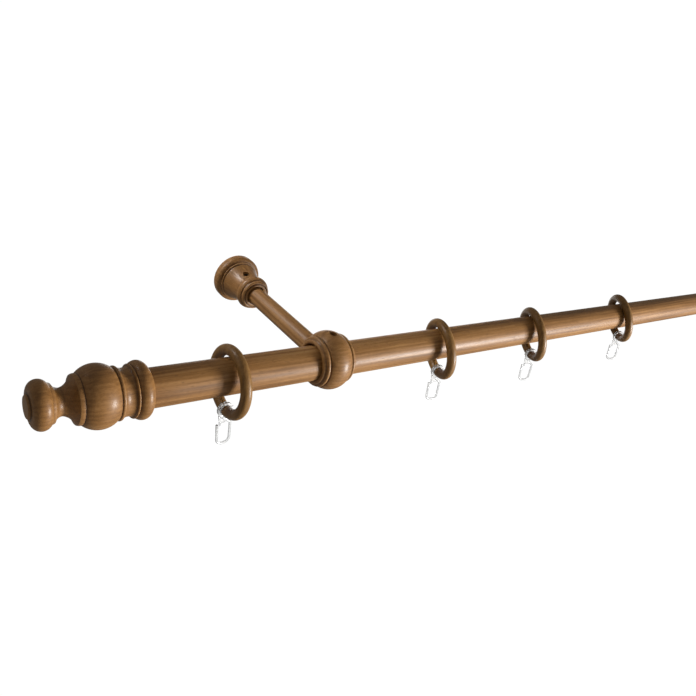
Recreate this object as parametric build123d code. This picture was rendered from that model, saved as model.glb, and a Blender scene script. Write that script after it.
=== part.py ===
"""Wooden curtain rod with two wall brackets, two finials and ten hooked rings.

Sizes are in millimetres. The wall is the plane y = 0, with the room on its -y
side. x runs along the rod, z is up, and the arms of the brackets lie at z = 0.
"""

import os
from math import atan2, cos, degrees, radians, sin

from build123d import *

# rod
ROD_R = 14.0
ROD_LENGTH = 1600.0
PROJECTION = 160.0  # wall to the middle of the rod
ROD_DROP = 1.0  # the rod lies on the bottom of the wider bores that hold it

# brackets
BRACKET_X = 630.0
ARM_R = 8.0
ARM_START = 16.0  # end of the arm inside the rose
TENON_R = 5.0
TENON_REACH = 142.5  # end of the tenon inside the holder
ROSE_MOUTH_R = 8.9
ROSE_MOUTH_DEPTH = 7.0
ROSE_FACE = 42.4
INSERT_R = 5.5
INSERT_BORE_R = 3.4  # tapping size of M8
INSERT_LENGTH = 14.0
ROSE_SCREW_R = 3.1
ROSE_SCREW_AT = 24.0
ROSE_SCREW_ANGLE = 102.0  # from +x towards +z
ROSE_SCREW_TOP = 12.6
HOLDER_R = 24.0
HOLDER_BORE_R = 15.0
HOLDER_HALF = 15.7
ROD_SCREW_R = 3.2
ROD_SCREW_TOP = 20.5
HEX_DEPTH = 2.6

# finials
SOCKET_R = 14.06
SOCKET_DEPTH = 20.4
FINIAL_FACE_X = 780.0

# rings: place along the rod, turn about the vertical and tilt of the top towards
# -x in degrees, and the middle's place across and above the rod's centre line
RING_R = 24.25
RING_TUBE_R = 4.25
RING_HANG = -5.7  # 0.3 left between the top of the rod and a ring straight on it
RINGS = [
    (-716.6, 0.0, 0.0, 0.0, RING_HANG),
    (-500.9, -17.4, 12.0, -1.5, -5.17),
    (-366.5, -25.2, 16.8, -2.75, -4.64),
    (-199.9, -30.6, 19.9, -1.25, -2.86),
    (62.0, 0.0, 0.0, 0.0, RING_HANG),
    (178.0, 9.0, 0.0, 0.0, RING_HANG),
    (294.0, -6.0, 0.0, 0.0, RING_HANG),
    (410.0, 12.0, 0.0, 0.0, RING_HANG),
    (526.0, 0.0, 0.0, 0.0, RING_HANG),
    (716.6, 0.0, 0.0, 0.0, RING_HANG),
]

# hook, drawn about the middle of the ring's tube with its loop straight down
CLIP_IN_R = 4.5
CLIP_OUT_R = 6.5
CLIP_FROM = 24.0
CLIP_TO = 285.0
CLIP_DEPTH = 3.0
LOOP_WIDTH = 2.0
LOOP_DEPTH = 2.2
LOOP_LINE = [(-4.4, -4.6), (4.8, -12.6), (4.8, -31.2), (-5.5, -31.2), (-6.2, -12.6)]
LOOP_RADII = [1.3, 4.4, 4.4]
TONGUE = [
    (-5.5, -4.2),
    (1.0, -10.2),
    (0.2, -11.3),
    (-3.1, -11.7),
    (-3.6, -14.0),
    (-4.4, -14.0),
    (-4.5, -11.0),
]
TONGUE_DEPTH = 1.4

# profiles: x along the turning axis and radius; a pair of points is the middle
# and the end of an arc, a single point the end of a straight line
ROSE_PROFILE = [
    (0.0, 21.6),
    (0.5, 22.1),
    (5.0, 22.1),
    ((7.9, 21.2), (9.0, 19.3)),
    (9.1, 18.8),
    (9.5, 18.7),
    ((10.3, 19.1), (11.1, 18.3)),
    (11.2, 17.7),
    (11.7, 17.5),
    (12.0, 17.8),
    ((20.0, 15.1), (29.5, 13.6)),
    ((30.8, 13.7), (31.8, 14.2)),
    ((35.2, 15.4), (38.3, 14.3)),
    (38.5, 13.6),
    (39.2, 13.5),
    ((40.9, 13.3), (42.0, 12.4)),
    (42.0, 11.8),
    (41.0, 11.5),
    (41.0, 11.0),
    (ROSE_FACE, 10.6),
    (ROSE_FACE, 0.0),
]
HOLDER_LIP = [
    (-HOLDER_HALF, 16.8),
    (-15.3, 17.5),
    ((-14.0, 18.1), (-13.4, 19.2)),
    ((-12.2, 20.2), (-10.9, 19.8)),
    (-10.6, 19.5),
    (-10.1, 19.6),
    (-9.8, 20.6),
]
FINIAL_PROFILE = [
    (0.0, 15.6),
    (0.6, 16.2),
    ((6.4, 20.3), (10.2, 18.3)),
    (10.4, 17.8),
    (10.8, 17.8),
    ((11.5, 18.5), (12.2, 17.9)),
    (12.5, 17.2),
    ((16.2, 16.3), (20.0, 17.6)),
    ((21.2, 18.5), (22.3, 18.0)),
    (22.5, 17.6),
    (22.9, 17.9),
    ((33.3, 21.8), (44.6, 17.4)),
    (44.9, 16.8),
    ((46.5, 16.9), (48.2, 16.4)),
    ((50.6, 12.1), (55.6, 9.1)),
    ((58.9, 10.0), (61.2, 12.9)),
    (62.8, 13.5),
    (63.2, 13.9),
    ((68.2, 16.4), (74.4, 10.0)),
    (74.6, 8.2),
    (75.6, 7.9),
    (76.2, 7.2),
    (76.2, 0.0),
]


def turned(start, moves):
    """A solid turned about the x axis, from a point on it along the given moves."""
    here = start
    edges = []
    for move in moves:
        if isinstance(move[0], tuple):
            edges.append(ThreePointArc(here, move[0], move[1]))
            here = move[1]
        else:
            edges.append(Line(here, move))
            here = move
    edges.append(Line(here, start))
    return revolve(make_face(edges), Axis.X)


def rod_point(x, below=0.0):
    """A place on the rod's centre line, or the given height below it."""
    return Pos(x, -PROJECTION, -ROD_DROP - below)


def mirrored(start, moves):
    """The moves of an outline gone back over, on the other side of x = 0."""
    ends = [start] + [move[1] if isinstance(move[0], tuple) else move for move in moves]
    back = []
    for move, (x, r) in zip(reversed(moves), reversed(ends[:-1])):
        if isinstance(move[0], tuple):
            back.append(((-move[0][0], move[0][1]), (-x, r)))
        else:
            back.append((-x, r))
    return back


def holder_body():
    """The holder before its bore: a barrel between two beaded lips, along x."""
    start = (-HOLDER_HALF, 0.0)
    barrel_end = (-HOLDER_LIP[-1][0], HOLDER_LIP[-1][1])
    barrel = ((0.0, HOLDER_R), barrel_end)
    return turned(start, HOLDER_LIP + [barrel] + mirrored(start, HOLDER_LIP))


def hex_key_hole(across):
    """The six-sided recess of a grub screw, opening at z = 0."""
    return extrude(RegularPolygon(across / 2, 6, major_radius=False), -HEX_DEPTH)


def grub_screw(radius, bottom, top, across):
    """A headless screw along z between two heights, with a hexagon recess."""
    body = Pos(0, 0, bottom) * extrude(Circle(radius), top - bottom)
    body = chamfer(body.edges().group_by(Axis.Z)[-1], 0.4)
    return body - Pos(0, 0, top) * hex_key_hole(across)


def rose_screw_place(x):
    """Puts z along the rose's side hole, at the arm's centre line."""
    return Pos(x, -ROSE_SCREW_AT, 0) * Rot(0, 90 - ROSE_SCREW_ANGLE, 0)


def rose(x):
    """The turned block on the wall, with the arm's socket and both screw holes."""
    body = Pos(x, 0, 0) * Rot(0, 0, -90) * turned((0.0, 0.0), ROSE_PROFILE)
    along = Pos(x, 0, 0) * Rot(90, 0, 0)
    socket = along * Pos(0, 0, ARM_START) * extrude(Circle(ARM_R), ROSE_FACE)
    mouth = along * Pos(0, 0, ROSE_FACE - ROSE_MOUTH_DEPTH) * extrude(Circle(ROSE_MOUTH_R), 20)
    insert = along * extrude(Circle(INSERT_R), ARM_START)
    side_hole = rose_screw_place(x) * extrude(Circle(ROSE_SCREW_R), 30)
    return body - socket - mouth - insert - side_hole


def rose_insert(x):
    """The steel sleeve in the back of the rose, bored for an M8 thread."""
    ring = extrude(Circle(INSERT_R) - Circle(INSERT_BORE_R), INSERT_LENGTH)
    return Pos(x, 0, 0) * Rot(90, 0, 0) * ring


def arm(x):
    """The round arm from the rose to the holder, shaped to the barrel and tenoned."""
    along = Pos(x, 0, 0) * Rot(90, 0, 0)
    shaft = along * Pos(0, 0, ARM_START) * extrude(Circle(ARM_R), PROJECTION - ARM_START - HOLDER_BORE_R)
    tenon = along * Pos(0, 0, ARM_START) * extrude(Circle(TENON_R), TENON_REACH - ARM_START)
    return shaft - Pos(x, -PROJECTION, 0) * holder_body() + tenon


def holder(x):
    """The turned ring that the rod lies in, with the tenon's and the screw's holes."""
    body = holder_body()
    body -= Pos(-20, 0, 0) * Rot(0, 90, 0) * extrude(Circle(HOLDER_BORE_R), 40)
    body -= extrude(Circle(ROD_SCREW_R), 30)
    tenon_depth = PROJECTION - TENON_REACH
    body -= Pos(0, tenon_depth, 0) * Rot(-90, 0, 0) * extrude(Circle(TENON_R), 20)
    return Pos(x, -PROJECTION, 0) * body


def ring_body():
    """A plain round ring that stands across the rod, about its own centre."""
    return Rot(0, 90, 0) * Torus(RING_R, RING_TUBE_R)


def flat_hook():
    """The clip, loop and tongue of one hook, as drawn, with the ring's tube at the origin."""
    reach = 3 * CLIP_OUT_R
    angles = [CLIP_TO, (CLIP_TO + 360 + CLIP_FROM) / 2, 360 + CLIP_FROM]
    corners = [(reach * cos(radians(a)), reach * sin(radians(a))) for a in angles]
    mouth = Polygon((0, 0), *corners, align=None)
    clip = extrude(Circle(CLIP_OUT_R) - Circle(CLIP_IN_R) - mouth, CLIP_DEPTH / 2, both=True)
    path = FilletPolyline(*LOOP_LINE, radius=LOOP_RADII)
    loop_face = make_face(offset(path, LOOP_WIDTH / 2, side=Side.BOTH))
    loop = extrude(loop_face, LOOP_DEPTH / 2, both=True)
    tongue = extrude(Polygon(*TONGUE, align=None), TONGUE_DEPTH / 2, both=True)
    bore = extrude(Circle(CLIP_IN_R), CLIP_DEPTH, both=True)
    return clip + (loop + tongue - bore)


def hook_lean(flat):
    """Degrees that a hook's loop leans towards +x when its weight hangs below the tube."""
    weight = flat.center(CenterOf.MASS)
    return degrees(atan2(-weight.X, -weight.Y))


def hook_body():
    """One hook as it hangs, with the middle of the ring's tube at the origin."""
    flat = flat_hook()
    return Rot(90, 0, 0) * Rot(0, 0, hook_lean(flat)) * flat


def finial(side):
    """The turned end piece on the left (-1) or the right (+1) end of the rod."""
    body = turned((0.0, 0.0), FINIAL_PROFILE)
    body -= Rot(0, 90, 0) * extrude(Circle(SOCKET_R), SOCKET_DEPTH)
    turn = 0 if side > 0 else 180
    return rod_point(side * FINIAL_FACE_X) * Rot(0, 0, turn) * body


def build():
    """Every piece by its name."""
    pieces = {}
    pieces["rod"] = rod_point(-ROD_LENGTH / 2) * Rot(0, 90, 0) * extrude(Circle(ROD_R), ROD_LENGTH)
    for name, side in (("left", -1), ("right", 1)):
        x = side * BRACKET_X
        pieces[f"{name}_rose"] = rose(x)
        pieces[f"{name}_rose_insert"] = rose_insert(x)
        rose_screw = grub_screw(ROSE_SCREW_R, ARM_R, ROSE_SCREW_TOP, 2.5)
        pieces[f"{name}_rose_screw"] = rose_screw_place(x) * rose_screw
        pieces[f"{name}_arm"] = arm(x)
        pieces[f"{name}_rod_holder"] = holder(x)
        rod_screw = grub_screw(ROD_SCREW_R, ROD_R - ROD_DROP, ROD_SCREW_TOP, 3.0)
        pieces[f"{name}_rod_screw"] = Pos(x, -PROJECTION, 0) * rod_screw
        pieces[f"{name}_finial"] = finial(side)
    ring = ring_body()
    hook = hook_body()
    for number, (x, turn, tilt, across, above) in enumerate(RINGS, 1):
        middle = rod_point(x) * Pos(0, across, above) * Rot(0, 0, turn)
        lowest = Pos(RING_R * sin(radians(tilt)), 0, -RING_R * cos(radians(tilt)))
        pieces[f"ring_{number}"] = middle * Rot(0, -tilt, 0) * ring
        pieces[f"hook_{number}"] = middle * lowest * hook
    return pieces


if __name__ == "__main__":
    os.makedirs("parts", exist_ok=True)
    for node, shape in build().items():
        export_step(shape, f"parts/{node}.step")
        print(node, round(shape.volume, 1))
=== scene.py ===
"""Stained wooden curtain rod on two turned wall brackets, with finials, rings and clear hooks.

Metres throughout. The wall is the plane y = 0 with the room on its -y side, x runs
along the rod and z is up.
"""

import logging
import math
from contextlib import contextmanager
from dataclasses import dataclass, field
from enum import Enum
from typing import Iterator, Sequence

import bpy
import numpy as np
from mathutils import Matrix, Vector


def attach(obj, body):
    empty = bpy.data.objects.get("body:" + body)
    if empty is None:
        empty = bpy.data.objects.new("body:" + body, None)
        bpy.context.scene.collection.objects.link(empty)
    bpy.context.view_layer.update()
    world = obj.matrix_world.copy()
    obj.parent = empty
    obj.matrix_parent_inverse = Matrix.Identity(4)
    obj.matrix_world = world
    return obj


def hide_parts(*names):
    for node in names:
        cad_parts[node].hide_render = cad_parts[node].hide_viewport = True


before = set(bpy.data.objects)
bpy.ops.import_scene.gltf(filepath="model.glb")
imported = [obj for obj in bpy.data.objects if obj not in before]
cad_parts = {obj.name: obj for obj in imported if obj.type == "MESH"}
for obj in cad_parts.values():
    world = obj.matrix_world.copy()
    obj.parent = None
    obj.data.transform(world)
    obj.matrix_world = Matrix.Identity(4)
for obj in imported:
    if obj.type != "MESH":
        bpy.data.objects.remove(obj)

LOG = logging.getLogger("curtain_rod")

MM = 0.001
FIXED_BODY = "rod_and_brackets"
LONGEST_FACET = 1.2  # millimetres of arc between two points of an outline
OUTLINE_STEP = 0.15 * MM  # between the places where an outline's hollows are felt for
VERTEX_BLOCK = 4000  # vertices compared with an outline at once
DRILL_REACH = 30.0 * MM  # long enough to leave any of the turned pieces
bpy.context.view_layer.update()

Piece = bpy.types.Object
Socket = bpy.types.NodeSocket
Point = tuple[float, float]
Move = tuple  # a point for a straight cut, or (middle, end) for an arc
Colour = tuple[float, float, float]


class Grain(Enum):
    """The axis that a piece's grain runs along."""

    ALONG_ROD = "X"
    OUT_OF_WALL = "Y"
    UPRIGHT = "Z"

    @property
    def index(self) -> int:
        """The axis as 0, 1 or 2."""
        return "XYZ".index(self.value)


class Side(Enum):
    """The two ends of the rod."""

    LEFT = -1
    RIGHT = 1

    @property
    def word(self) -> str:
        """The side as it stands in names."""
        return self.name.lower()


class Slot(Enum):
    """The names of the record's material slots for the new pieces."""

    WOOD = "stained_wood"
    RING_WOOD = "dark_wood"
    PLASTIC = "clear_plastic"
    INSERT_STEEL = "zinc_steel"


# ---- bench


def clear_bench() -> None:
    """Leaves edit mode and deselects every object."""
    if bpy.context.object and bpy.context.object.mode != "OBJECT":
        bpy.ops.object.mode_set(mode="OBJECT")
    bpy.ops.object.select_all(action="DESELECT")


def take(piece: Piece) -> None:
    """Makes a piece the only one selected, and the active one.

    Args:
        piece: the piece to work on.
    """
    clear_bench()
    piece.select_set(True)
    bpy.context.view_layer.objects.active = piece


@contextmanager
def shaping(piece: Piece) -> Iterator[None]:
    """Opens a piece in edit mode for a while.

    Args:
        piece: the piece to shape.

    Returns:
        A context in which the edit mode operators act on the piece.
    """
    take(piece)
    bpy.ops.object.mode_set(mode="EDIT")
    bpy.ops.mesh.select_mode(type="VERT")
    try:
        yield
    finally:
        bpy.ops.object.mode_set(mode="OBJECT")


def named(piece: Piece, name: str) -> Piece:
    """Gives a piece and its mesh one name.

    Args:
        piece: the piece.
        name: its name.

    Returns:
        The piece.
    """
    piece.name = name
    piece.data.name = name
    return piece


def settle(piece: Piece) -> None:
    """Puts a piece's place, turn and scale into its mesh."""
    take(piece)
    bpy.ops.object.transform_apply(location=True, rotation=True, scale=True)


def select_everything() -> None:
    """Selects the whole mesh, in edit mode."""
    bpy.ops.mesh.select_all(action="SELECT")


def close_up(doubles: float = 2e-6) -> None:
    """Merges doubles and points every face outwards, in edit mode.

    Args:
        doubles: points nearer to each other than this are merged.
    """
    select_everything()
    bpy.ops.mesh.remove_doubles(threshold=doubles)
    bpy.ops.mesh.normals_make_consistent(inside=False)


def start_point(name: str, where: Vector) -> Piece:
    """A new piece that is a single point, ready to be drawn out.

    Args:
        name: the piece's name.
        where: the point's place.

    Returns:
        The new object.
    """
    clear_bench()
    bpy.ops.mesh.primitive_plane_add(size=MM, location=where)
    piece = named(bpy.context.object, name)
    settle(piece)
    with shaping(piece):
        select_everything()
        bpy.ops.mesh.merge(type="CENTER")
    return piece


def extrude(move: Sequence[float]) -> None:
    """Extrudes what is selected, in edit mode.

    Args:
        move: how far, and which way.
    """
    bpy.ops.mesh.extrude_region_move(TRANSFORM_OT_translate={"value": move})


def draw_out(places: Sequence[Vector]) -> None:
    """Extrudes the selected points along a line of places, in edit mode.

    Args:
        places: where the line goes, its first place being where it stands now.
    """
    for here, there in zip(places, places[1:]):
        extrude(there - here)


def spin(angle: float, steps: int, centre: Vector, axis: Vector) -> None:
    """Spins what is selected round an axis, in edit mode.

    Args:
        angle: how far, in radians, counter-clockwise as seen against the axis.
        steps: how many steps that takes.
        centre: a point on the axis.
        axis: the axis.
    """
    bpy.ops.mesh.spin(steps=steps, angle=angle, center=centre, axis=-Vector(axis))


def apply_modifier(piece: Piece, kind: str, **settings: object) -> None:
    """Adds one modifier and applies it.

    Args:
        piece: the piece to change.
        kind: the modifier's type.
        **settings: its settings.
    """
    take(piece)
    bpy.ops.object.modifier_add(type=kind)
    modifier = piece.modifiers[-1]
    for key, value in settings.items():
        setattr(modifier, key, value)
    bpy.ops.object.modifier_apply(modifier=modifier.name)


def cut_or_join(piece: Piece, other: Piece, operation: str) -> None:
    """Boolean of a piece with another one, which is used up.

    Args:
        piece: the piece that stays.
        other: the cutter, or the part to join on.
        operation: "DIFFERENCE" or "UNION".
    """
    apply_modifier(piece, "BOOLEAN", operation=operation, solver="EXACT", object=other)
    bpy.data.objects.remove(other, do_unlink=True)


def ease_edges(piece: Piece, width: float, angle: float = 30.0) -> None:
    """Rounds off the sharp edges of a piece.

    Args:
        piece: the piece.
        width: how wide the rounding is.
        angle: edges sharper than this many degrees are rounded.
    """
    apply_modifier(
        piece, "BEVEL", width=width, segments=2, limit_method="ANGLE", angle_limit=math.radians(angle)
    )


def smooth(piece: Piece, angle: float = 35.0) -> None:
    """Smooth shading with edges kept where faces meet at more than the angle."""
    take(piece)
    bpy.ops.object.shade_smooth_by_angle(angle=math.radians(angle))


def drill(piece: Piece, where: Vector, direction: Vector, radius: float, depth: float) -> None:
    """Drills a round hole into a piece.

    Args:
        piece: the piece to drill.
        where: the middle of the hole's bottom.
        direction: from the bottom outwards.
        radius: the hole's radius.
        depth: how far the cutter reaches outwards.
    """
    clear_bench()
    turn = direction.to_track_quat("Z", "Y").to_euler()
    middle = where + direction.normalized() * depth / 2
    bpy.ops.mesh.primitive_cylinder_add(
        vertices=48, radius=radius, depth=depth, location=middle, rotation=turn
    )
    cutter = bpy.context.object
    settle(cutter)
    cut_or_join(piece, cutter, "DIFFERENCE")


def round_bar(
    name: str, middle: Vector, axis: Vector, radius: float, length: float, ease: float, sides: int, bays: int
) -> Piece:
    """A plain round bar with eased ends and its length in even bays.

    Args:
        name: the bar's name.
        middle: its middle.
        axis: the direction in which it runs.
        radius: its radius.
        length: its length.
        ease: how far its ends' edges are rounded.
        sides: faces round it.
        bays: faces along it.

    Returns:
        The bar.
    """
    clear_bench()
    rotation = (0.0, math.pi / 2, 0.0) if axis.x else (math.pi / 2, 0.0, 0.0)
    bpy.ops.mesh.primitive_cylinder_add(
        vertices=sides, radius=radius, depth=length, location=middle, rotation=rotation
    )
    bar = named(bpy.context.object, name)
    settle(bar)
    ease_edges(bar, ease, 60.0)
    with shaping(bar):
        for number in range(1, bays):
            select_everything()
            place = middle + axis * length * (number / bays - 0.5)
            bpy.ops.mesh.bisect(plane_co=place, plane_no=axis)
    smooth(bar)
    return bar


def copy_of(piece: Piece, name: str, move: Vector, turn: float = 0.0, tilt: float = 0.0) -> Piece:
    """A copy of a piece with its own mesh, tilted, turned about the vertical and moved.

    Args:
        piece: what to copy, drawn about the origin or in its own place.
        name: the copy's name.
        move: how far it is moved.
        turn: degrees about the z axis, before the move.
        tilt: degrees by which its top leans towards -x, before the turn.

    Returns:
        The copy, its place in its mesh.
    """
    take(piece)
    bpy.ops.object.duplicate(linked=False)
    twin = named(bpy.context.object, name)
    twin.rotation_euler = (0.0, -math.radians(tilt), math.radians(turn))
    twin.location = move
    settle(twin)
    return twin


def mount(piece: Piece, body: str, slot: Slot, *nodes: str) -> None:
    """Puts a finished piece on its body, in place of its CAD nodes, and logs it.

    Args:
        piece: the finished piece.
        body: the body that it rides on.
        slot: the record's material slot; not used.
        *nodes: the CAD nodes that it stands for.
    """
    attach(piece, body)
    if nodes:
        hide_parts(*nodes)
    LOG.info("%s on %s: %d faces", piece.name, body, len(piece.data.polygons))


def mount_pair(piece: Piece, places: dict[Side, float], slot: Slot, node: str) -> None:
    """Copies a finished left-hand piece to the right and mounts both on the fixed body.

    Args:
        piece: the left-hand piece, its name starting with the side.
        places: each side's place along the rod.
        slot: the record's material slot.
        node: the name of the CAD nodes that the two stand for, without the side.
    """
    step = Vector((places[Side.RIGHT] - places[Side.LEFT], 0.0, 0.0))
    twin = copy_of(piece, piece.name.replace(Side.LEFT.word, Side.RIGHT.word), step)
    for made, side in ((twin, Side.RIGHT), (piece, Side.LEFT)):
        mount(made, FIXED_BODY, slot, f"{side.word}_{node}")


# ---- outlines


@dataclass(frozen=True)
class Outline:
    """A turner's outline in millimetres: distance along the axis, and radius.

    Attributes:
        start: where the line starts.
        moves: points for straight cuts, (middle, end) pairs for arcs.
        closed: the line comes back to its start, for a piece with a bore.
    """

    start: Point
    moves: tuple[Move, ...]
    closed: bool = False

    @staticmethod
    def arc(a: Point, b: Point, c: Point, turn: float = 7.0) -> list[Point]:
        """Points along the arc from a through b to c.

        Args:
            a: start.
            b: a point about the middle.
            c: end.
            turn: degrees of arc between points.

        Returns:
            The points after a, up to c.
        """
        (ax, ay), (bx, by), (cx, cy) = a, b, c
        d = 2 * (ax * (by - cy) + bx * (cy - ay) + cx * (ay - by))
        sa, sb, sc = ax * ax + ay * ay, bx * bx + by * by, cx * cx + cy * cy
        ux = (sa * (by - cy) + sb * (cy - ay) + sc * (ay - by)) / d
        uy = (sa * (cx - bx) + sb * (ax - cx) + sc * (bx - ax)) / d
        radius = math.hypot(ax - ux, ay - uy)
        first = math.atan2(ay - uy, ax - ux)
        sweep = (math.atan2(cy - uy, cx - ux) - first) % math.tau
        mid = (math.atan2(by - uy, bx - ux) - first) % math.tau
        if mid > sweep:
            sweep -= math.tau
        by_angle = math.ceil(abs(math.degrees(sweep)) / turn)
        count = max(3, by_angle, math.ceil(abs(sweep) * radius / LONGEST_FACET))
        angles = [first + sweep * k / count for k in range(1, count + 1)]
        return [(ux + radius * math.cos(t), uy + radius * math.sin(t)) for t in angles]

    def points(self) -> list[Point]:
        """The outline drawn out.

        Returns:
            Its points, in metres.
        """
        line = [self.start]
        for move in self.moves:
            if isinstance(move[0], tuple):
                line += self.arc(line[-1], move[0], move[1])
            else:
                line.append(move)
        if self.closed:
            line.append(self.start)
        return [(a * MM, r * MM) for a, r in line]

    def hollows(self, reach: float = 1.3 * MM) -> tuple[np.ndarray, np.ndarray]:
        """How far each place on the outline lies in a hollow (+) or on a crest (-).

        Args:
            reach: the length of line that a place is compared with.

        Returns:
            The places, and for each the depth below its surroundings, in metres.
        """
        line = np.array(self.points())
        steps = np.hypot(*np.diff(line, axis=0).T)
        length = np.concatenate([[0.0], np.cumsum(steps)])
        ask = np.linspace(0.0, length[-1], max(64, int(length[-1] / OUTLINE_STEP)))
        dense = np.stack([np.interp(ask, length, line[:, k]) for k in (0, 1)], axis=1)
        weight = np.exp(-(((ask[:, None] - ask[None, :]) / reach) ** 2))
        soft = weight @ dense / weight.sum(1)[:, None]
        along = np.gradient(dense, axis=0)
        along /= np.maximum(np.hypot(*along.T), 1e-12)[:, None]
        outward = np.stack([-along[:, 1], along[:, 0]], axis=1)
        depth = ((soft - dense) * outward).sum(1)
        ends = np.minimum(ask, length[-1] - ask) < reach
        depth[ends] = 0.0
        return dense, depth


@dataclass
class TurnedPiece:
    """A piece spun on the lathe from one outline.

    Attributes:
        name: the piece's name.
        outline: what the lathe cuts.
        place: where the outline's zero lies.
        axis: the direction in which the outline runs.
        steps: faces round the piece.
        ease: how far the sharp edges are rounded.
    """

    name: str
    outline: Outline
    place: Vector
    axis: Vector
    steps: int = 112
    ease: float = 0.1 * MM

    @property
    def side(self) -> Vector:
        """A direction square to the axis."""
        return Vector((0.0, 0.0, 1.0))

    def at(self, point: Point) -> Vector:
        """Where a point of the outline lies."""
        return self.place + self.axis * point[0] + self.side * point[1]

    def turn(self) -> Piece:
        """Draws the outline and spins it round the axis.

        Returns:
            The closed piece, with no holes across it yet.
        """
        line = [self.at(p) for p in self.outline.points()]
        piece = start_point(self.name, line[0])
        with shaping(piece):
            select_everything()
            draw_out(line)
            select_everything()
            spin(math.tau, self.steps, self.place, self.axis)
            close_up()
        if self.ease:
            ease_edges(piece, self.ease)
        return piece

    def mark_hollows(self, piece: Piece) -> None:
        """Stores on each vertex how deep it lies in a hollow of the outline, for the painted shade in
        hollows and the painted highlight on crests.

        Args:
            piece: the finished mesh.
        """
        mesh = piece.data
        flat = np.empty(len(mesh.vertices) * 3)
        mesh.vertices.foreach_get("co", flat)
        spots = flat.reshape(-1, 3) - np.array(self.place)
        axis = np.array(self.axis)
        along = spots @ axis
        radius = np.linalg.norm(spots - along[:, None] * axis, axis=1)
        places, depth = self.outline.hollows()
        values = np.empty(len(along))
        for k in range(0, len(along), VERTEX_BLOCK):
            block = slice(k, k + VERTEX_BLOCK)
            gap = (along[block, None] - places[:, 0]) ** 2 + (radius[block, None] - places[:, 1]) ** 2
            values[block] = depth[gap.argmin(1)]
        store(piece, "hollow", np.clip(values / MM, -1.0, 1.0))


def store(piece: Piece, name: str, values: np.ndarray) -> None:
    """Stores one number for each vertex.

    Args:
        piece: the piece.
        name: the attribute's name.
        values: one number for each vertex.
    """
    held = piece.data.attributes.new(name, "FLOAT", "POINT")
    held.data.foreach_set("value", values.astype(np.float32))


# ---- finishes


class Recipe:
    """A material's nodes, put together one by one."""

    def __init__(self, name: str) -> None:
        """Starts an empty material.

        Args:
            name: the material's name.
        """
        self.material = bpy.data.materials.new(name)
        self.material.use_nodes = True
        self.tree = self.material.node_tree
        self.tree.nodes.clear()

    def add(self, kind: str, inputs: dict | None = None, **settings: object) -> bpy.types.Node:
        """Adds a node.

        Args:
            kind: the node's type, without its ShaderNode prefix.
            inputs: numbers for its sockets, or sockets to link to them.
            **settings: its other settings.

        Returns:
            The node.
        """
        node = self.tree.nodes.new("ShaderNode" + kind)
        for key, value in settings.items():
            setattr(node, key, value)
        for key, value in (inputs or {}).items():
            if isinstance(value, Socket):
                self.tree.links.new(value, node.inputs[key])
            else:
                node.inputs[key].default_value = value
        return node

    def math(self, operation: str, a: object, b: object = 0.0, clamp: bool = False) -> Socket:
        """The result of one sum on numbers or sockets."""
        return self.add("Math", {0: a, 1: b}, operation=operation, use_clamp=clamp).outputs[0]

    def blend(self, parts: Sequence[tuple[Socket, float]]) -> Socket:
        """Patterns added up by weight, each about its middle, so that their sum is about 0.

        Args:
            parts: each pattern, from 0 to 1, and its weight.

        Returns:
            The sum.
        """
        total: object = 0.0
        for pattern, weight in parts:
            share = self.math("MULTIPLY", self.math("SUBTRACT", pattern, 0.5), weight)
            total = self.math("ADD", share, total)
        return total

    def between(self, value: Socket, low: float, high: float) -> Socket:
        """A step with soft ends.

        Args:
            value: what to measure.
            low: where the step starts.
            high: where it ends.

        Returns:
            0 at the low value and below, 1 at the high one and above.
        """
        node = self.add(
            "MapRange", {"Value": value, "From Min": low, "From Max": high}, interpolation_type="SMOOTHSTEP"
        )
        return node.outputs[0]

    def noise(self, vector: Socket, scale: float, detail: float, **more: float) -> Socket:
        """Noise from 0 to 1: patches to the metre, layers of finer noise, and other inputs."""
        inputs = {"Vector": vector, "Scale": scale, "Detail": detail}
        inputs.update({key.capitalize(): value for key, value in more.items()})
        return self.add("TexNoise", inputs, noise_dimensions="3D").outputs[0]

    def mix(self, amount: object, a: object, b: object) -> Socket:
        """Two colours mixed.

        Args:
            amount: 0 for the first colour alone, 1 for the second.
            a: the first colour, or a socket.
            b: the second one.

        Returns:
            The colour socket.
        """
        return self.add("Mix", {0: amount, 6: a, 7: b}, data_type="RGBA").outputs[2]

    def ramp(self, value: Socket, stops: Sequence[tuple[float, Colour]]) -> Socket:
        """A colour ramp.

        Args:
            value: where on the ramp.
            stops: places and their colours.

        Returns:
            The colour socket.
        """
        node = self.add("ValToRGB", {"Fac": value})
        elements = node.color_ramp.elements
        while len(elements) < len(stops):
            elements.new(1.0)
        for element, (place, colour) in zip(elements, stops):
            element.position = place
            element.color = (*colour, 1.0)
        return node.outputs["Color"]

    def finish(self, surface: Socket) -> bpy.types.Material:
        """Puts the shader on the material's output."""
        self.add("OutputMaterial", {"Surface": surface})
        return self.material


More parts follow.
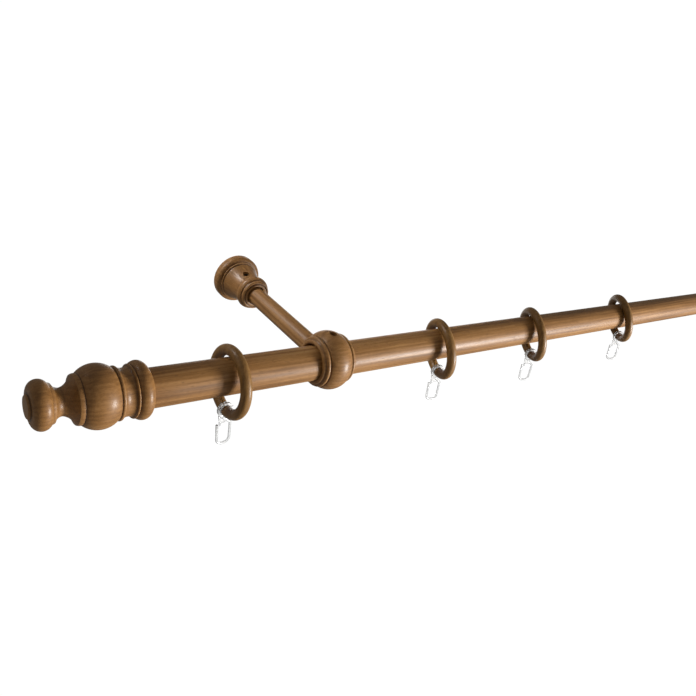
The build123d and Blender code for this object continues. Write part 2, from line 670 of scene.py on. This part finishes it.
@dataclass(frozen=True)
class WoodFinish:
    """Turned hardwood, stained and lacquered to a satin.

    Attributes:
        name: the material's name.
        grain: the axis that the grain runs along.
        pith: where the heart of the tree would be, across the grain.
        dark: the colour of the late wood.
        middle: the colour of most of it.
        light: the colour of the early wood, and of the painted highlight on the outline's crests.
        groove: the colour of the dark pores, and of the painted shade laid into the outline's hollows.
        figure: how strongly the year rings show.
        contrast: how far light and dark wood stand apart.
        pores: how dark the pores are.
        gloss: the lacquer's roughness.
        coat: how much lacquer there is.
    """

    name: str
    grain: Grain
    pith: tuple[float, float, float]
    dark: Colour = (0.122, 0.053, 0.013)
    middle: Colour = (0.222, 0.106, 0.030)
    light: Colour = (0.320, 0.168, 0.060)
    groove: Colour = (0.040, 0.016, 0.005)
    figure: float = 0.5
    contrast: float = 1.0
    pores: float = 0.45
    gloss: float = 0.52
    coat: float = 0.18

    def stretch(self, along: float) -> tuple[float, float, float]:
        """A Mapping scale that draws a pattern out along the grain.

        Args:
            along: how much the coordinates shrink along the grain.

        Returns:
            The scale of each axis.
        """
        scale = [1.0, 1.0, 1.0]
        scale[self.grain.index] = along
        return tuple(scale)

    def mapped(self, recipe: Recipe, coords: Socket, along: float) -> Socket:
        """The coordinates seen from the pith and drawn out along the grain.

        Args:
            recipe: the material in the making.
            coords: the piece's own coordinates.
            along: how much they shrink along the grain.

        Returns:
            The mapped coordinates.
        """
        scale = self.stretch(along)
        shift = tuple(-p * s for p, s in zip(self.pith, scale))
        return recipe.add("Mapping", {"Vector": coords, "Location": shift, "Scale": scale}).outputs[0]

    def noise(
        self, recipe: Recipe, coords: Socket, along: float, scale: float, detail: float, **more: float
    ) -> Socket:
        """Noise drawn out along the grain.

        Args:
            recipe: the material in the making.
            coords: the piece's own coordinates.
            along: how much they shrink along the grain.
            scale: patches to the metre across the grain.
            detail: layers of finer noise.
            **more: other inputs of the noise.

        Returns:
            The noise, from 0 to 1.
        """
        return recipe.noise(self.mapped(recipe, coords, along), scale, detail, **more)

    def material(self) -> bpy.types.Material:
        """Builds the finish.

        Returns:
            The material.
        """
        r = Recipe(self.name)
        coords = r.add("TexCoord").outputs["Object"]
        board = self.noise(r, coords, 0.10, 60.0, 2.0)
        streak = self.noise(r, coords, 0.022, 420.0, 3.0, roughness=0.6, distortion=0.2)
        fibre = self.noise(r, coords, 0.020, 2100.0, 3.0, roughness=0.6)
        fleck = self.noise(r, coords, 0.065, 4000.0, 1.0, roughness=0.4)
        blotch = self.noise(r, coords, 0.5, 110.0, 2.0)
        rings = r.add(
            "TexWave",
            {
                "Vector": self.mapped(r, coords, 0.06),
                "Scale": 96.0,
                "Distortion": 5.0,
                "Detail": 2.0,
                "Detail Scale": 0.5,
                "Detail Roughness": 0.5,
            },
            wave_type="RINGS",
            rings_direction=self.grain.value,
            wave_profile="SIN",
        ).outputs["Fac"]
        tone = r.blend([(board, 0.75), (streak, 1.05), (fibre, 0.55), (rings, self.figure * 0.30)])
        tone = r.math("ADD", r.math("MULTIPLY", tone, self.contrast), 0.5)
        colour = r.ramp(tone, [(0.18, self.dark), (0.5, self.middle), (0.82, self.light)])
        pores = r.between(fleck, 0.60, 0.70)
        colour = r.mix(r.math("MULTIPLY", pores, self.pores), colour, (*self.groove, 1.0))
        cloud = r.between(blotch, 0.35, 0.68)
        colour = r.mix(r.math("MULTIPLY", cloud, 0.14), colour, (*self.dark, 1.0))
        # Painted shade: vertices deep in the outline's hollows are darkened towards the dark pore colour.
        hollow = r.add("Attribute", attribute_name="hollow").outputs["Fac"]
        colour = r.mix(r.math("MULTIPLY", r.between(hollow, 0.02, 0.24), 0.72), colour, (*self.groove, 1.0))
        # Painted highlight: vertices on the outline's crests are lightened towards the early wood colour.
        crest = r.between(r.math("MULTIPLY", hollow, -1.0), 0.05, 0.30)
        colour = r.mix(r.math("MULTIPLY", crest, 0.34), colour, (*self.light, 1.0))
        rough = r.math("ADD", r.math("MULTIPLY", fibre, 0.16), self.gloss - 0.08)
        rough = r.math("ADD", rough, r.math("MULTIPLY", pores, 0.18), clamp=True)
        height = r.blend([(fibre, 0.35), (pores, -0.5), (streak, 0.5)])
        bump = r.add("Bump", {"Height": height, "Strength": 0.30, "Distance": 0.0001}).outputs[0]
        shader = r.add(
            "BsdfPrincipled",
            {
                "Base Color": colour,
                "Roughness": rough,
                "Normal": bump,
                "IOR": 1.45,
                "Specular IOR Level": 0.28,
                "Coat Weight": self.coat,
                "Coat Roughness": 0.26,
            },
        )
        return r.finish(shader.outputs[0])


@dataclass(frozen=True)
class PlasticFinish:
    """Clear moulded plastic, a little milky.

    Attributes:
        name: the material's name.
        clear: how much light goes through.
        gloss: the surface's roughness.
    """

    name: str = "clear_hook_plastic"
    clear: float = 0.66
    gloss: float = 0.12

    def material(self) -> bpy.types.Material:
        """Builds the finish.

        Returns:
            The material.
        """
        r = Recipe(self.name)
        coords = r.add("TexCoord").outputs["Object"]
        haze = r.noise(coords, 260.0, 3.0)
        flow = r.noise(coords, 900.0, 2.0)
        colour = r.ramp(haze, [(0.3, (0.90, 0.91, 0.92)), (0.7, (0.97, 0.98, 0.98))])
        # Painted shade: the colour turns grey where the surface is seen edge-on, standing in for the dark
        # outlines of clear plastic.
        edge_shade = r.add("LayerWeight", {"Blend": 0.5}).outputs["Facing"]
        colour = r.mix(r.between(edge_shade, 0.12, 0.60), colour, (0.36, 0.37, 0.38, 1.0))
        rough = r.math("ADD", r.math("MULTIPLY", flow, 0.10), self.gloss - 0.05)
        bump = r.add("Bump", {"Height": flow, "Strength": 0.15, "Distance": 0.0001}).outputs[0]
        shader = r.add(
            "BsdfPrincipled",
            {
                "Base Color": colour,
                "Roughness": rough,
                "Normal": bump,
                "IOR": 1.49,
                "Transmission Weight": self.clear,
            },
        )
        return r.finish(shader.outputs[0])


@dataclass(frozen=True)
class SteelFinish:
    """Steel with fine turning marks and stains.

    Attributes:
        name: the material's name.
        clean: the bright metal's colour.
        stained: the dull metal's colour.
        gloss: the surface's roughness.
    """

    name: str
    clean: Colour
    stained: Colour
    gloss: float

    def material(self) -> bpy.types.Material:
        """Builds the finish.

        Returns:
            The material.
        """
        r = Recipe(self.name)
        coords = r.add("TexCoord").outputs["Object"]
        stain = r.noise(coords, 420.0, 4.0)
        marks = r.noise(coords, 5200.0, 2.0)
        colour = r.ramp(stain, [(0.35, self.stained), (0.65, self.clean)])
        rough = r.math("ADD", r.math("MULTIPLY", stain, 0.22), self.gloss - 0.1)
        bump = r.add("Bump", {"Height": marks, "Strength": 0.2, "Distance": 0.00005}).outputs[0]
        shader = r.add(
            "BsdfPrincipled",
            {"Base Color": colour, "Metallic": 1.0, "Roughness": rough, "Normal": bump},
        )
        return r.finish(shader.outputs[0])


def dress(piece: Piece, material: bpy.types.Material) -> None:
    """Gives a piece one material all over."""
    piece.data.materials.clear()
    piece.data.materials.append(material)


# ---- rod


ROD_AXIS_Y = -160.0 * MM
ROD_AXIS_Z = -1.0 * MM


@dataclass
class Rod:
    """The round wooden pole."""

    radius: float = 14.0 * MM
    length: float = 1600.0 * MM
    ease: float = 0.6 * MM
    bays: int = 40
    finish: WoodFinish = WoodFinish(
        "rod_wood", Grain.ALONG_ROD, (0.0, ROD_AXIS_Y + 0.021, ROD_AXIS_Z + 0.034), coat=0.11
    )

    def build(self) -> None:
        """Makes the pole."""
        middle = Vector((0.0, ROD_AXIS_Y, ROD_AXIS_Z))
        along = Vector((1.0, 0.0, 0.0))
        pole = round_bar("pole", middle, along, self.radius, self.length, self.ease, 128, self.bays)
        dress(pole, self.finish.material())
        mount(pole, FIXED_BODY, Slot.WOOD, "rod")


# ---- brackets


@dataclass
class WallRose:
    """The turned block that the arm stands in, with its steel insert and side screw."""

    outline: Outline = Outline(
        (0.0, 5.5),
        (
            (0.0, 21.6), (0.5, 22.1), (5.0, 22.1), ((7.9, 21.2), (9.0, 19.3)), (9.1, 18.8),
            (9.5, 18.7), ((10.3, 19.1), (11.1, 18.3)), (11.2, 17.7), (11.7, 17.5), (12.0, 17.8),
            ((20.0, 15.1), (29.5, 13.6)), ((30.8, 13.7), (31.8, 14.2)),
            ((35.2, 15.4), (38.3, 14.3)), (38.5, 13.6), (39.2, 13.5), ((40.9, 13.3), (42.0, 12.4)),
            (42.0, 11.8), (41.0, 11.5), (41.0, 11.0), (42.4, 10.6), (42.4, 8.9), (35.4, 8.9),
            (35.4, 8.0), (16.0, 8.0), (16.0, 5.5),
        ),
        closed=True,
    )
    insert_outline: Outline = Outline(
        (0.0, 3.9),
        (
            (0.0, 5.1), (0.4, 5.5), (14.0, 5.5), (14.0, 3.9), (13.5, 3.4),
            *(
                point
                for turn in range(9)
                for point in ((12.9 - 1.4 * turn, 3.4), (12.4 - 1.4 * turn, 4.0), (12.1 - 1.4 * turn, 3.4))
            ),
            (0.5, 3.4),
        ),
        closed=True,
    )
    screw_hole: float = 3.1 * MM
    screw_at: float = 24.0 * MM
    screw_angle: float = 102.0
    finish: WoodFinish = WoodFinish("rose_wood", Grain.OUT_OF_WALL, (-0.581, 0.0, 0.042), contrast=0.6)
    insert_finish: SteelFinish = SteelFinish(
        "zinc_insert_steel", (0.60, 0.61, 0.62), (0.42, 0.41, 0.36), 0.34
    )

    def build(self, places: dict[Side, float]) -> None:
        """Makes the left rose and its insert and copies them to the right.

        Args:
            places: each side's place along the rod.
        """
        wood, steel = self.finish.material(), self.insert_finish.material()
        out = Vector((0.0, -1.0, 0.0))
        left = Vector((places[Side.LEFT], 0.0, 0.0))
        lathe = TurnedPiece("left_wall_rose", self.outline, left, out)
        rose = lathe.turn()
        angle = math.radians(self.screw_angle)
        sideways = Vector((math.cos(angle), 0.0, math.sin(angle)))
        drill(rose, left + out * self.screw_at, sideways, self.screw_hole, DRILL_REACH)
        lathe.mark_hollows(rose)
        smooth(rose)
        dress(rose, wood)
        insert = TurnedPiece("left_stud_insert", self.insert_outline, left, out, steps=48, ease=0.0).turn()
        smooth(insert)
        dress(insert, steel)
        mount_pair(rose, places, Slot.WOOD, "rose")
        mount_pair(insert, places, Slot.INSERT_STEEL, "rose_insert")


@dataclass
class Arm:
    """The round arm between a rose and a holder."""

    radius: float = 8.0 * MM
    start: float = 16.0 * MM
    end: float = 143.6 * MM
    ease: float = 0.4 * MM
    bays: int = 12
    finish: WoodFinish = WoodFinish("arm_wood", Grain.OUT_OF_WALL, (-0.618, 0.0, 0.019), figure=0.75)

    def build(self, places: dict[Side, float]) -> None:
        """Makes one arm for each side.

        Args:
            places: each side's place along the rod.
        """
        wood = self.finish.material()
        middle = Vector((places[Side.LEFT], -(self.start + self.end) / 2, 0.0))
        out = Vector((0.0, -1.0, 0.0))
        length = self.end - self.start
        arm = round_bar("left_bracket_arm", middle, out, self.radius, length, self.ease, 96, self.bays)
        dress(arm, wood)
        mount_pair(arm, places, Slot.WOOD, "arm")


@dataclass
class RodHolder:
    """The turned ring at the end of an arm, with the screw's hole in its top."""

    outline: Outline = Outline(
        (-15.7, 15.0),
        (
            (-15.7, 16.8), (-15.3, 17.5), ((-14.0, 18.1), (-13.4, 19.2)),
            ((-12.2, 20.2), (-10.9, 19.8)), (-10.6, 19.5), (-10.1, 19.6), (-9.8, 20.6),
            ((0.0, 24.0), (9.8, 20.6)), (10.1, 19.6), (10.6, 19.5), (10.9, 19.8),
            ((12.2, 20.2), (13.4, 19.2)), ((14.0, 18.1), (15.3, 17.5)), (15.7, 16.8), (15.7, 15.0),
        ),
        closed=True,
    )
    screw_hole: float = 3.2 * MM
    finish: WoodFinish = WoodFinish(
        "holder_wood", Grain.ALONG_ROD, (0.0, ROD_AXIS_Y - 0.006, 0.070), contrast=0.7
    )

    def build(self, places: dict[Side, float]) -> None:
        """Makes one holder for each side.

        Args:
            places: each side's place along the rod.
        """
        wood = self.finish.material()
        left = Vector((places[Side.LEFT], ROD_AXIS_Y, 0.0))
        lathe = TurnedPiece("left_holder", self.outline, left, Vector((1.0, 0.0, 0.0)), steps=128)
        holder = lathe.turn()
        drill(holder, left, Vector((0.0, 0.0, 1.0)), self.screw_hole, DRILL_REACH)
        lathe.mark_hollows(holder)
        smooth(holder)
        dress(holder, wood)
        mount_pair(holder, places, Slot.WOOD, "rod_holder")


@dataclass
class Bracket:
    """Both brackets: roses, arms, holders and their steel screws."""

    reach: float = 630.0 * MM
    rose: WallRose = field(default_factory=WallRose)
    arm: Arm = field(default_factory=Arm)
    holder: RodHolder = field(default_factory=RodHolder)
    screw_finish: SteelFinish = SteelFinish(
        "dark_screw_steel", (0.050, 0.048, 0.045), (0.018, 0.017, 0.016), 0.50
    )

    def build(self) -> None:
        """Makes every piece of both brackets and dresses the screws."""
        places = {side: side.value * self.reach for side in Side}
        self.rose.build(places)
        self.arm.build(places)
        self.holder.build(places)
        steel = self.screw_finish.material()
        for side in Side:
            for kind in ("rose_screw", "rod_screw"):
                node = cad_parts[f"{side.word}_{kind}"]
                for number in range(len(node.material_slots)):
                    node.material_slots[number].material = steel
                if not node.material_slots:
                    node.data.materials.append(steel)
                LOG.info("%s dressed in dark steel", node.name)


# ---- finials


@dataclass
class Finial:
    """The turned end piece that slides over each end of the rod."""

    face: float = 780.0 * MM
    outline: Outline = Outline(
        (0.0, 14.06),
        (
            (0.0, 15.6), (0.6, 16.2), ((6.4, 20.3), (10.2, 18.3)), (10.4, 17.8), (10.8, 17.8),
            ((11.5, 18.5), (12.2, 17.9)), (12.5, 17.2), ((16.2, 16.3), (20.0, 17.6)),
            ((21.2, 18.5), (22.3, 18.0)), (22.5, 17.6), (22.9, 17.9), ((33.3, 21.8), (44.6, 17.4)),
            (44.9, 16.8), ((46.5, 16.9), (48.2, 16.4)), ((50.6, 12.1), (55.6, 9.1)),
            ((58.9, 10.0), (61.2, 12.9)), (62.8, 13.5), (63.2, 13.9), ((68.2, 16.4), (74.4, 10.0)),
            (74.6, 8.2), (75.6, 7.9), (76.2, 7.2), (76.2, 0.0), (20.4, 0.0), (20.4, 14.06),
        ),
        closed=True,
    )
    finish: WoodFinish = WoodFinish(
        "finial_wood", Grain.ALONG_ROD, (0.0, ROD_AXIS_Y + 0.004, 0.060), contrast=0.7
    )

    def build(self) -> None:
        """Makes both finials."""
        wood = self.finish.material()
        for side in Side:
            place = Vector((side.value * self.face, ROD_AXIS_Y, ROD_AXIS_Z))
            axis = Vector((float(side.value), 0.0, 0.0))
            lathe = TurnedPiece(f"{side.word}_end_finial", self.outline, place, axis, steps=128)
            finial = lathe.turn()
            lathe.mark_hollows(finial)
            smooth(finial)
            dress(finial, wood)
            mount(finial, f"{side.word}_finial", Slot.WOOD, f"{side.word}_finial")


# ---- rings and hooks


@dataclass(frozen=True)
class Station:
    """Where one ring stands on the rod, in millimetres and degrees.

    Attributes:
        x: its place along the rod.
        turn: its turn about the vertical.
        tilt: how far its top leans towards the left.
        across: its middle's place across the rod's centre line.
        above: its middle's place above the rod's centre line.
    """

    x: float
    turn: float = 0.0
    tilt: float = 0.0
    across: float = 0.0
    above: float = -5.7

    def middle(self) -> Vector:
        """The middle of the ring."""
        return Vector((self.x * MM, ROD_AXIS_Y + self.across * MM, ROD_AXIS_Z + self.above * MM))

    def lowest(self, radius: float) -> Vector:
        """The ring's lowest part.

        Args:
            radius: of the circle that the ring's tube follows.

        Returns:
            The lowest point of that circle.
        """
        turn, tilt = math.radians(self.turn), math.radians(self.tilt)
        out = radius * math.sin(tilt)
        return self.middle() + Vector((out * math.cos(turn), out * math.sin(turn), -radius * math.cos(tilt)))


@dataclass
class CurtainRing:
    """The round wooden rings that hang on the rod."""

    radius: float = 24.25 * MM
    tube: float = 4.25 * MM
    finish: WoodFinish = WoodFinish(
        "ring_wood",
        Grain.UPRIGHT,
        (0.0, ROD_AXIS_Y - 0.05, 0.0),
        dark=(0.105, 0.048, 0.010),
        middle=(0.188, 0.094, 0.023),
        light=(0.265, 0.142, 0.045),
        figure=0.5,
        contrast=0.8,
        pores=0.3,
    )

    def pattern(self) -> Piece:
        """The ring that all the others are copied from, about the origin.

        Returns:
            The ring, standing across the x axis.
        """
        clear_bench()
        bpy.ops.mesh.primitive_circle_add(
            vertices=40, radius=self.tube, location=(0.0, 0.0, self.radius), rotation=(math.pi / 2, 0.0, 0.0)
        )
        ring = named(bpy.context.object, "ring_pattern")
        settle(ring)
        with shaping(ring):
            select_everything()
            spin(math.tau, 144, Vector(), Vector((1.0, 0.0, 0.0)))
            close_up()
        smooth(ring, 60.0)
        return ring

    def build(self, stations: Sequence[Station]) -> None:
        """Copies the ring to its stations on the rod.

        Args:
            stations: where each ring stands.
        """
        wood = self.finish.material()
        pattern = self.pattern()
        dress(pattern, wood)
        for number, station in enumerate(stations, 1):
            ring = copy_of(pattern, f"wood_ring_{number}", station.middle(), station.turn, station.tilt)
            mount(ring, f"ring_{number}", Slot.RING_WOOD, f"ring_{number}")
        bpy.data.objects.remove(pattern, do_unlink=True)


@dataclass
class CurtainHook:
    """The clear plastic hooks clipped on the rings' lowest part."""

    clip_inside: float = 4.5 * MM
    clip_outside: float = 6.5 * MM
    clip_from: float = 24.0
    clip_to: float = 285.0
    clip_depth: float = 3.0 * MM
    wire_width: float = 2.0 * MM
    wire_depth: float = 2.2 * MM
    wire_line: tuple[Point, ...] = ((-4.4, -4.6), (4.8, -12.6), (4.8, -31.2), (-5.5, -31.2), (-6.2, -12.6))
    wire_bends: tuple[float, ...] = (1.3, 4.4, 4.4)
    tongue: tuple[Point, ...] = (
        (-5.5, -4.2), (1.0, -10.2), (0.2, -11.3), (-3.1, -11.7), (-3.6, -14.0), (-4.4, -14.0),
        (-4.5, -11.0),
    )
    tongue_depth: float = 1.4 * MM
    lean: float = 4.9239
    finish: PlasticFinish = PlasticFinish()

    def clip(self) -> Piece:
        """The open ring that grips the tube.

        Returns:
            The clip, about the tube's middle.
        """
        clear_bench()
        first = math.radians(self.clip_from)
        middle = (self.clip_inside + self.clip_outside) / 2
        bpy.ops.mesh.primitive_plane_add(
            size=1.0,
            location=(middle * math.cos(first), 0.0, middle * math.sin(first)),
            rotation=(0.0, -first, 0.0),
        )
        clip = named(bpy.context.object, "hook_clip")
        clip.scale = (self.clip_outside - self.clip_inside, self.clip_depth, 1.0)
        settle(clip)
        with shaping(clip):
            select_everything()
            spin(math.radians(self.clip_to - self.clip_from), 40, Vector(), Vector((0.0, -1.0, 0.0)))
            close_up()
        ease_edges(clip, 0.45 * MM, 40.0)
        return clip

    def wire(self) -> Piece:
        """The long loop that the curtain's tape hangs in.

        Returns:
            The wire, from the clip round to its free end.
        """
        line = [Vector((x * MM, 0.0, z * MM)) for x, z in self.wire_line]
        ways = [(b - a).normalized() for a, b in zip(line, line[1:])]
        clear_bench()
        bpy.ops.mesh.primitive_circle_add(
            vertices=20,
            radius=0.5,
            fill_type="NGON",
            location=line[0],
            rotation=ways[0].to_track_quat("Z", "Y").to_euler(),
        )
        wire = named(bpy.context.object, "hook_wire")
        wire.scale = (self.wire_depth, self.wire_width, 1.0)
        settle(wire)
        with shaping(wire):
            select_everything()
            here = line[0]
            for k, bend in enumerate((*self.wire_bends, 0.0)):
                corner = line[k + 1]
                if not bend:
                    extrude(corner - here)
                    break
                turn = ways[k].angle(ways[k + 1])
                back = bend * MM * math.tan(turn / 2)
                stop = corner - ways[k] * back
                extrude(stop - here)
                upright = ways[k].cross(ways[k + 1]).normalized()
                centre = stop + upright.cross(ways[k]).normalized() * bend * MM
                spin(turn, max(6, round(math.degrees(turn) / 8)), centre, upright)
                here = corner + ways[k + 1] * back
            close_up()
        ease_edges(wire, 0.5 * MM, 50.0)
        return wire

    def tongue_piece(self) -> Piece:
        """The thin springy tongue beside the loop.

        Returns:
            The tongue.
        """
        line = [Vector((x * MM, -self.tongue_depth / 2, z * MM)) for x, z in self.tongue]
        tongue = start_point("hook_tongue", line[0])
        with shaping(tongue):
            select_everything()
            draw_out(line)
            select_everything()
            bpy.ops.mesh.edge_face_add()
            extrude((0.0, self.tongue_depth, 0.0))
            close_up()
        ease_edges(tongue, 0.25 * MM, 50.0)
        return tongue

    def pattern(self) -> Piece:
        """The hook that all the others are copied from, with the tube's middle at the origin.

        Returns:
            The hook as it hangs.
        """
        hook = self.clip()
        cut_or_join(hook, self.wire(), "UNION")
        cut_or_join(hook, self.tongue_piece(), "UNION")
        with shaping(hook):
            close_up(5e-6)
        hook.rotation_euler = (0.0, -math.radians(self.lean), 0.0)
        settle(hook)
        smooth(hook, 40.0)
        return hook

    def build(self, stations: Sequence[Station], radius: float) -> None:
        """Hangs a hook on the lowest part of every ring.

        Args:
            stations: where each ring stands.
            radius: of the circle that the ring's tube follows.
        """
        plastic = self.finish.material()
        pattern = self.pattern()
        dress(pattern, plastic)
        for number, station in enumerate(stations, 1):
            hook = copy_of(pattern, f"clear_hook_{number}", station.lowest(radius), station.turn)
            mount(hook, f"hook_{number}", Slot.PLASTIC, f"hook_{number}")
        bpy.data.objects.remove(pattern, do_unlink=True)


# ---- studio


@dataclass
class Studio:
    """Pale floor and backdrop, soft lights and the camera."""

    floor_z: float = -0.9
    eye: tuple[float, float, float] = (-0.94726722, -0.52611782, 0.25803832)
    look: tuple[float, float, float] = (0.60425203, 0.65832997, -0.4488665)
    right: tuple[float, float, float] = (0.78870137, -0.57425926, 0.21949137)
    up: tuple[float, float, float] = (0.11326799, 0.48664973, 0.86622307)
    lens: float = 35.2764
    room: tuple[Point, ...] = ((9.0, 0.0), (10.2, 0.4), (11.0, 2.0), (11.0, 7.0), (8.0, 11.0), (2.0, 13.0))

    def camera(self) -> None:
        """Sets up the camera."""
        data = bpy.data.cameras.new("camera")
        data.sensor_width = 36.0
        data.lens = self.lens
        data.clip_start, data.clip_end = 0.01, 200.0
        camera = bpy.data.objects.new("camera", data)
        bpy.context.scene.collection.objects.link(camera)
        turn = Matrix((self.right, self.up, [-v for v in self.look])).transposed().to_4x4()
        camera.matrix_world = Matrix.Translation(self.eye) @ turn
        bpy.context.scene.camera = camera

    def backdrop(self) -> None:
        """Makes the pale floor, which curves up into a pale wall and ceiling all round."""
        clear_bench()
        bpy.ops.mesh.primitive_circle_add(
            vertices=64, radius=self.room[0][0], fill_type="NGON", location=(0.0, 0.0, self.floor_z)
        )
        floor = named(bpy.context.object, "pale_floor")
        settle(floor)
        with shaping(floor):
            select_everything()
            for (wide, low), (next_wide, high) in zip(self.room, self.room[1:]):
                extrude((0.0, 0.0, high - low))
                ratio = next_wide / wide
                bpy.ops.transform.resize(
                    value=(ratio, ratio, 1.0), center_override=(0.0, 0.0, self.floor_z + high)
                )
        smooth(floor, 60.0)
        r = Recipe("pale_paper")
        coords = r.add("TexCoord").outputs["Object"]
        cloud = r.noise(coords, 0.4, 2.0)
        tint = r.ramp(cloud, [(0.3, (0.985, 0.985, 0.985)), (0.7, (1.0, 1.0, 1.0))])
        glow = r.add("Emission", {"Color": tint, "Strength": 1.03}).outputs[0]
        dress(floor, r.finish(glow))
        floor.visible_diffuse = False
        floor.visible_glossy = False
        floor.visible_shadow = False

    def lamp(
        self,
        name: str,
        target: Vector,
        direction: Vector,
        distance: float,
        size: Point,
        power: float,
        colour: Colour,
        spread: float = 0.0,
    ) -> None:
        """Adds a soft box.

        Args:
            name: the lamp's name.
            target: what it points at.
            direction: from the target to the lamp.
            distance: how far away it stands.
            size: its width and height.
            power: its power in watts.
            colour: its colour.
            spread: the angle its beam is narrowed to, in degrees, or 0 for a plain soft box.
        """
        data = bpy.data.lights.new(name, "AREA")
        data.shape = "RECTANGLE"
        data.size, data.size_y = size
        data.energy = power
        data.color = colour
        lamp = bpy.data.objects.new(name, data)
        bpy.context.scene.collection.objects.link(lamp)
        if spread:
            data.spread = math.radians(spread)
        toward = direction.normalized()
        lamp.location = target + toward * distance
        lamp.rotation_euler = toward.to_track_quat("Z", "Y").to_euler()
        lamp.visible_camera = False

    def build(self) -> None:
        """Sets the stage."""
        scene = bpy.context.scene
        scene.view_settings.view_transform = "Standard"
        scene.view_settings.look = "None"
        world = bpy.data.worlds.new("studio_air")
        world.use_nodes = True
        air = world.node_tree.nodes["Background"]
        air.inputs["Color"].default_value = (1.0, 0.94, 0.85, 1.0)
        air.inputs["Strength"].default_value = 0.26
        scene.world = world
        self.camera()
        self.backdrop()
        rod = Vector((-0.2, -0.16, 0.0))
        self.lamp("key", rod, Vector((0.61, -0.78, -0.14)), 2.6, (0.9, 0.9), 158.0, (1.0, 0.97, 0.94))
        self.lamp("spark", rod, Vector((0.42, -0.80, 0.43)), 3.0, (0.5, 0.5), 5.0, (1.0, 0.99, 0.97))
        self.lamp("bounce", rod, Vector((0.30, -0.62, -0.72)), 2.6, (2.2, 2.2), 14.0, (1.0, 0.98, 0.95))
        self.lamp("behind", rod, Vector((0.50, 0.80, -0.33)), 3.0, (2.0, 2.0), 28.0, (1.0, 0.98, 0.95))
        arm = Vector((-0.63, -0.06, 0.0))
        above = Vector((-0.44, 0.44, 0.56))
        self.lamp("arm_fill", arm, above, 0.7, (0.20, 0.20), 0.16, (1.0, 0.97, 0.94), spread=24.0)
        LOG.info("studio ready")


# ---- main


STATIONS: tuple[Station, ...] = (
    Station(-716.6),
    Station(-500.9, -17.4, 12.0, -1.5, -5.17),
    Station(-366.5, -25.2, 16.8, -2.75, -4.64),
    Station(-199.9, -30.6, 19.9, -1.25, -2.86),
    Station(62.0),
    Station(178.0, 9.0),
    Station(294.0, -6.0),
    Station(410.0, 12.0),
    Station(526.0),
    Station(716.6),
)


def main() -> None:
    """Builds every piece in order, and the studio round them."""
    logging.basicConfig(level=logging.INFO, format="%(message)s")
    Rod().build()
    Bracket().build()
    Finial().build()
    ring = CurtainRing()
    ring.build(STATIONS)
    CurtainHook().build(STATIONS, ring.radius)
    Studio().build()
    clear_bench()


if __name__ == "__main__":
    main()
